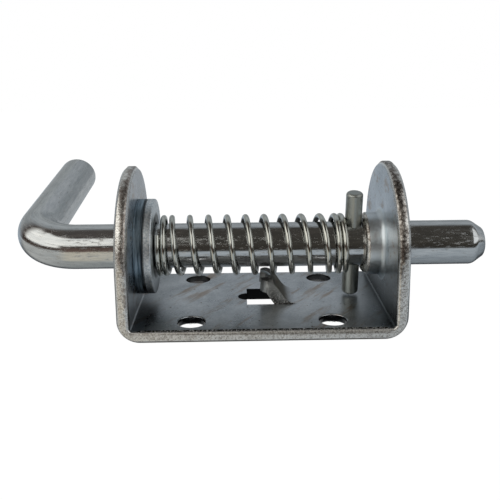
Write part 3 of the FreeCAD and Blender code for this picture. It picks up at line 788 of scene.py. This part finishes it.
# %% Sky bands
LEFT_BANDS = [(-180, "#aab2b8"), (-160, "#a6b2bd"), (-152, "#5a5d60"), (-128, "#5a5d60"), (-116, "#969a9b"),
              (-68, "#a8aba9"), (-58, "#cac5b8"), (-14, "#d2cbbc"), (-9, "#6f5d56"), (6, "#66554e"),
              (14, "#4b4542"), (108, "#585451"), (122, "#a9aeb1"), (142, "#acb1b4"), (156, "#989d9f"),
              (172, "#a2a6a8")]
RIGHT_BANDS = [(-180, "#aeb2b5"), (-160, "#a9aeb2"), (-152, "#4c5054"), (-128, "#4c5054"), (-116, "#858c92"),
               (-68, "#98a0a7"), (-58, "#a7afb6"), (-19, "#b4bbc1"), (-13, "#393632"), (6, "#3d3a35"),
               (14, "#403d38"), (108, "#474440"), (122, "#a2a8ad"), (142, "#a9aeb3"), (156, "#8f9599"),
               (172, "#969b9f")]
world = bpy.data.worlds.new("studio")
bpy.context.scene.world = world
world.use_nodes = True
tree = world.node_tree
tree.nodes.clear()
direction = node(tree, SPLIT, links={0: node(tree, "ShaderNodeTexCoord").outputs["Generated"]})
sideways, upwards = direction.outputs["X"], direction.outputs["Z"]
forward = node(tree, MATH, {SECOND: -1.0}, {FIRST: direction.outputs["Y"]}, operation="MULTIPLY")
angle = node(tree, MATH, links={FIRST: upwards, SECOND: forward}, operation="ARCTAN2")
share = node(tree, MAP, {LOW: -math.pi, HIGH: math.pi}, {VALUE: angle})
ramps = []
for stops in (LEFT_BANDS, RIGHT_BANDS):
    ramp = node(tree, "ShaderNodeValToRGB", links={0: share})
    for degrees, _ in stops[2:]:
        ramp.color_ramp.elements.new((degrees + 180) / 360)
    for element, (degrees, code) in zip(ramp.color_ramp.elements, stops):
        element.position = (degrees + 180) / 360
        element.color = linear(code)
    ramps.append(ramp)
to_right = node(tree, MAP, {LOW: -0.2, HIGH: -0.08}, {VALUE: sideways}, interpolation_type="SMOOTHSTEP")
walls = node(tree, MIX, links={FACTOR: to_right, COLOUR_A: ramps[0], COLOUR_B: ramps[1]}, data_type="RGBA")
print("bands", len(LEFT_BANDS), "left and", len(RIGHT_BANDS), "right")

# %% [markdown]
# A bright panel stands in front on the left and a second one far left. Each is a product of soft steps, one for
# each of its sides, so its rim fades as a cloth screen's does.

# %% Bright panels
leftward = node(tree, MATH, {SECOND: -1.0}, {FIRST: sideways}, operation="MULTIPLY")
turned = node(tree, MATH, links={FIRST: leftward, SECOND: forward}, operation="ARCTAN2")
PANEL_SIDES = [(turned, math.radians(8.5), math.radians(11)), (turned, math.radians(98), math.radians(88)),
               (upwards, math.sin(math.radians(17)), math.sin(math.radians(19.5))),
               (upwards, math.sin(math.radians(58)), math.sin(math.radians(52)))]
panel = None
for source, dark, lit_from in PANEL_SIDES:
    step = node(tree, MAP, {LOW: dark, HIGH: lit_from}, {VALUE: source}, interpolation_type="SMOOTHSTEP")
    panel = step if panel is None else node(
        tree, MATH, links={FIRST: panel, SECOND: step}, operation="MULTIPLY")
side_panel = node(tree, MAP, {LOW: -0.5, HIGH: -0.62}, {VALUE: sideways})
raised = node(tree, MAP, {LOW: 0.09, HIGH: 0.13}, {VALUE: upwards})
side_part = node(tree, MATH, links={FIRST: side_panel, SECOND: raised}, operation="MULTIPLY")
side_end = node(tree, MAP, {LOW: -0.4, HIGH: -0.2}, {VALUE: forward})
side_top = node(tree, MAP, {LOW: 0.8, HIGH: 0.7, AT_LOW: 0.0, AT_HIGH: 1.0}, {VALUE: upwards})
side_cut = node(tree, MATH, links={FIRST: side_end, SECOND: side_top}, operation="MULTIPLY")
side_seen = node(tree, MATH, links={FIRST: side_part, SECOND: side_cut}, operation="MULTIPLY")
panels = node(tree, MATH, links={FIRST: panel, SECOND: side_seen}, operation="MAXIMUM")
print("panels made from", len(PANEL_SIDES) + 4, "soft steps")

# %% [markdown]
# The far left wall is dark above and grey below, and a pale screen stands far right. The camera itself sees plain
# white; every other ray sees the room.

# %% Side walls and background
LEFT_GREY, RIGHT_SCREEN = (0.5, 0.51, 0.5, 1), (0.9, 0.92, 0.93, 1)
PANEL_LIGHT, WHITE = (1.1, 1.09, 1.04, 1), (1, 1, 1, 1)
far_left = node(tree, MAP, {LOW: -0.36, HIGH: -0.6}, {VALUE: sideways})
not_behind = node(tree, MAP, {LOW: -0.7, HIGH: -0.4}, {VALUE: forward})
left_part = node(tree, MATH, links={FIRST: far_left, SECOND: not_behind}, operation="MULTIPLY")
lower = node(tree, MAP, {LOW: -0.09, HIGH: -0.15}, {VALUE: upwards})
left_wall = node(tree, MIX, {COLOUR_A: linear("#4a403b"), COLOUR_B: LEFT_GREY}, {FACTOR: lower}, data_type="RGBA")
left_filled = node(tree, MIX, links={FACTOR: left_part, COLOUR_A: walls, COLOUR_B: left_wall}, data_type="RGBA")
far_right = node(tree, MAP, {LOW: 0.38, HIGH: 0.45}, {VALUE: sideways})
upper = node(tree, MAP, {LOW: 0.05, HIGH: 0.15}, {VALUE: upwards})
right_upper = node(tree, MATH, links={FIRST: far_right, SECOND: upper}, operation="MULTIPLY")
in_front = node(tree, MAP, {LOW: -0.15, HIGH: 0.05}, {VALUE: forward})
right_part = node(tree, MATH, links={FIRST: right_upper, SECOND: in_front}, operation="MULTIPLY")
filled = node(tree, MIX, {COLOUR_B: RIGHT_SCREEN}, {FACTOR: right_part, COLOUR_A: left_filled}, data_type="RGBA")
room = node(tree, MIX, {COLOUR_B: PANEL_LIGHT}, {FACTOR: panels, COLOUR_A: filled}, data_type="RGBA")
seen = node(tree, "ShaderNodeLightPath")
sky = node(tree, MIX, {COLOUR_B: WHITE}, {FACTOR: seen.outputs["Is Camera Ray"], COLOUR_A: room}, data_type="RGBA")
back = node(tree, "ShaderNodeBackground", {"Strength": 1.0}, {"Color": sky})
node(tree, "ShaderNodeOutputWorld", links={"Surface": back})
print("sky nodes", len(tree.nodes))

# %% [markdown]
# The floor is a large pale sheet just under the base. To the camera it is almost white and keeps a trace of the
# shadow. Mirror rays pass it, so that the metal shows the sky's own table and floor bands. A dark sheet under the
# base is painted shade, and two small bright ones under the front holes are painted pools of light, which the holes'
# smooth lower walls mirror.

# %% Floor
HOLE_X, SPOT_Y = 19.05 * MM, -14.9 * MM
FLOOR_Z, SHADE_Z, LIT_Z = -0.3 * MM, -0.2 * MM, -0.1 * MM
FLOOR_HALF, BASE_HALF, SPOT_HALF = (0.6, 0.6), (38 * MM, 23 * MM), (2.8 * MM, 1.8 * MM)


def stage_sheet(name, centre, half, z):
    """A flat rectangle of the stage: centre plus or minus half its size in x and y."""
    signs = np.array([(-1, -1), (1, -1), (1, 1), (-1, 1)])
    flat = np.array(centre) + signs * np.array(half)
    mesh = bpy.data.meshes.new(name)
    mesh.from_pydata(np.column_stack([flat, np.full(4, z)]).tolist(), [], [(0, 1, 2, 3)])
    sheet = bpy.data.objects.new(name, mesh)
    bpy.context.scene.collection.objects.link(sheet)
    return sheet


floor = stage_sheet("floor", (0, 0), FLOOR_HALF, FLOOR_Z)
floor.visible_glossy = False
# Painted shade: a dark sheet under the base.
shade = stage_sheet("floor_under_base", (0, 0), BASE_HALF, SHADE_Z)
# Painted light: bright spots under the front holes.
lit = [stage_sheet("lit_spot_" + str(n), (side * HOLE_X, SPOT_Y), SPOT_HALF, LIT_Z)
       for n, side in enumerate((-1, 1))]
print("floor sheets", 2 + len(lit))

# %% [markdown]
# The three kinds of sheet share one recipe: to the camera a glow of almost white plus a matte grey that takes the
# shadow, and to all other rays an even light of their own strength.

# %% Floor finish
FLOOR_GLOW = 0.98
for name, sheets, strength in (("pale_floor", [floor], FLOOR_GLOW), ("shaded_floor", [shade], 0.09),
                               ("lit_floor", lit, 1.1)):
    floor_finish, tree = blank_material(name)
    glow = node(tree, "ShaderNodeEmission", {"Color": WHITE, "Strength": FLOOR_GLOW})
    matte = node(tree, "ShaderNodeBsdfDiffuse", {"Color": linear("#5a5a5a")})
    to_eye = node(tree, "ShaderNodeAddShader", links={0: glow, 1: matte})
    to_metal = node(tree, "ShaderNodeEmission", {"Color": WHITE, "Strength": strength})
    seen = node(tree, "ShaderNodeLightPath")
    chosen = node(tree, "ShaderNodeMixShader",
                  links={0: seen.outputs["Is Camera Ray"], 1: to_metal, 2: to_eye})
    node(tree, "ShaderNodeOutputMaterial", links={"Surface": chosen})
    for sheet in sheets:
        sheet.data.materials.append(floor_finish)
    print("finish", name, "strength", strength)

# %% [markdown]
# ## Camera
# The camera stands in front, a little above the latch, where lines of the real bracket and holes meet their images.
# Its place came from fitting those points; the lens shift puts the latch where the picture has it.

# %% Camera
PITCH, YAW, ROLL = (math.radians(a) for a in (11.886, -1.3354, -0.3665))
CAMERA_PLACE = np.array([-6.1699, -189.6258, 76.6437]) * MM
FOCAL_PIXELS, CENTRE_X, CENTRE_Y, PIXELS = 685.1154, 253.637, 186.433, 500
SENSOR = 36
turn_z = np.array([[math.cos(YAW), -math.sin(YAW), 0], [math.sin(YAW), math.cos(YAW), 0], [0, 0, 1]])
ahead = turn_z @ [0, math.cos(PITCH), -math.sin(PITCH)]
right = turn_z @ [1, 0, 0]
up = turn_z @ [0, math.sin(PITCH), math.cos(PITCH)]
right, up = math.cos(ROLL) * right + math.sin(ROLL) * up, math.cos(ROLL) * up - math.sin(ROLL) * right
lens = bpy.data.cameras.new("camera")
lens.sensor_width = SENSOR
lens.lens = SENSOR * FOCAL_PIXELS / PIXELS
lens.shift_x = -(CENTRE_X - PIXELS / 2) / PIXELS
lens.shift_y = (CENTRE_Y - PIXELS / 2) / PIXELS
lens.clip_start = 10 * MM
camera = bpy.data.objects.new("camera", lens)
bpy.context.scene.collection.objects.link(camera)
matrix = np.eye(4)
matrix[:3, 0], matrix[:3, 1], matrix[:3, 2], matrix[:3, 3] = right, up, -ahead, CAMERA_PLACE
camera.matrix_world = Matrix(matrix.tolist())
bpy.context.scene.camera = camera
bpy.context.scene.view_settings.view_transform = "Standard"
print("lens", round(lens.lens, 2), "mm")
